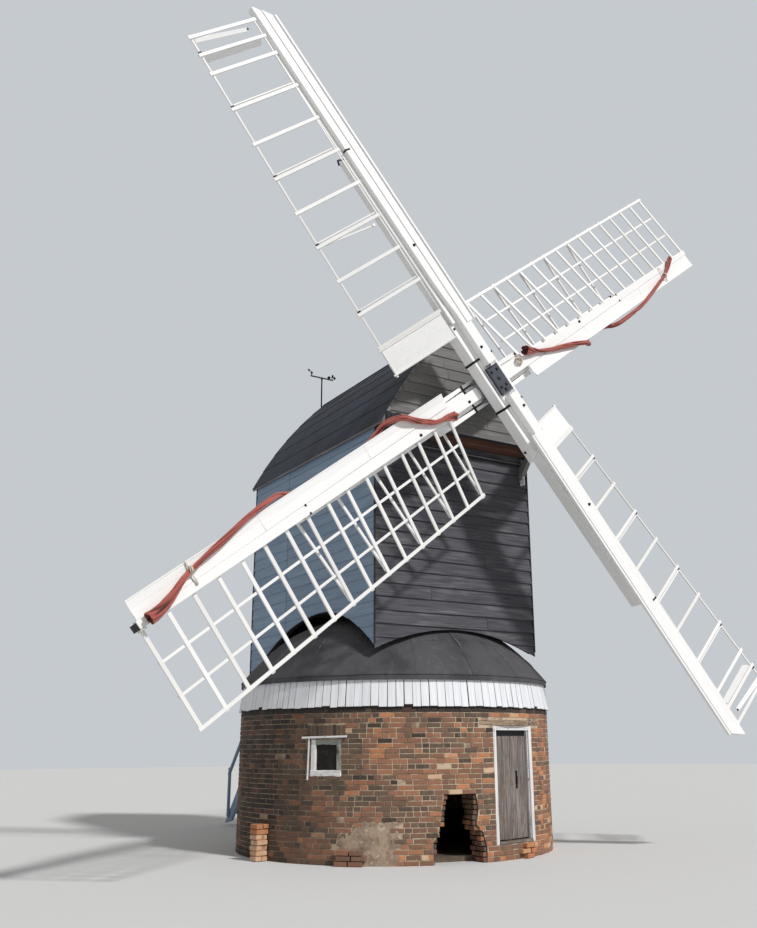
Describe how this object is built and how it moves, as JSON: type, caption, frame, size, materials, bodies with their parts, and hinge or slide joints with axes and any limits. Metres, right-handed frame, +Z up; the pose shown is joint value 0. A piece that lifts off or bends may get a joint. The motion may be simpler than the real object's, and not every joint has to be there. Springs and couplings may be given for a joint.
{
  "type": "windmill",
  "caption": "Post mill: a boarded body with a curved felted roof turning over a round brick house, with white lattice sails and furled red cloths",
  "frame": {"origin": "middle of the round house on the ground it stands on", "axes": "+Z up along the main post, -Y toward the sails at rest, +X to the right seen from the front"},
  "size_m": [12.2096, 10.6378, 13.6143],
  "materials": {
    "brickwork": "mottled red and sooty bricks laid in cream mortar",
    "earth_floor": "trodden bricks and earth",
    "white_paint": "white gloss paint on planed timber",
    "old_oak": "dry old oak, sawn and hewn",
    "grey_planks": "silver-grey weathered planks",
    "dark_glass": "dark dusty pane",
    "grey_felt": "dark grey roofing felt with radial seams",
    "black_boards": "tarred boards gone streaky grey",
    "blue_grey_boards": "white boards, weathered blue-grey",
    "black_felt": "blue-black roofing felt in strips",
    "dark_iron": "blackened cast iron",
    "red_canvas": "faded terracotta sailcloth, furled and tied"
  },
  "bodies": {
    "roundhouse": {"wall_window": "brickwork", "wall_broken": "brickwork", "wall_over_door": "brickwork", "wall_right": "brickwork", "wall_back_right": "brickwork", "wall_back_left": "brickwork", "wall_stub": "brickwork", "round_floor": "earth_floor", "door_frame": "white_paint", "door_lintel": "old_oak", "window_frame": "white_paint", "window_glass": "dark_glass", "fascia": "white_paint", "round_roof": "grey_felt", "brick_piers": "brickwork", "trestle": "old_oak", "main_post": "old_oak"},
    "buck": {"crown_tree": "old_oak", "body_floor": "old_oak", "breast": "black_boards", "left_side": "blue_grey_boards", "right_side": "blue_grey_boards", "tail_wall": "black_boards", "tail_door": "black_boards", "head_gable": "black_boards", "head_cheeks": "black_boards", "weather_beam": "old_oak", "tail_beam": "old_oak", "roof_left": "black_felt", "roof_right": "black_felt", "ladder_strings": "old_oak", "ladder_treads": "old_oak", "handrails": "blue_grey_boards", "wind_mast": "dark_iron"},
    "sails": {"windshaft": "old_oak", "poll_end": "dark_iron", "stocks": "white_paint", "whips": "white_paint", "spring_frame_high": "white_paint", "spring_frame_low": "white_paint", "cloth_frame_high": "white_paint", "cloth_frame_low": "white_paint", "sail_boards": "white_paint", "furled_cloths": "red_canvas"},
    "roundhouse_door": {"door_leaf": "grey_planks"}
  },
  "joints": [
    {"name": "buck_turn", "type": "hinge", "parent": "roundhouse", "child": "buck", "pos_m": [0, 0, 5.3], "axis": [0, 0, 1], "continuous": true},
    {"name": "sails_turn", "type": "hinge", "parent": "buck", "child": "sails", "pos_m": [0, -3.48, 7.664], "axis": [0, -0.9963, 0.0854], "continuous": true},
    {"name": "door_swing", "type": "hinge", "parent": "roundhouse", "child": "roundhouse_door", "pos_m": [0.1901, -2.60597, 1.12], "axis": [0, 0, 1], "range_deg": [0, 95]}
  ]
}
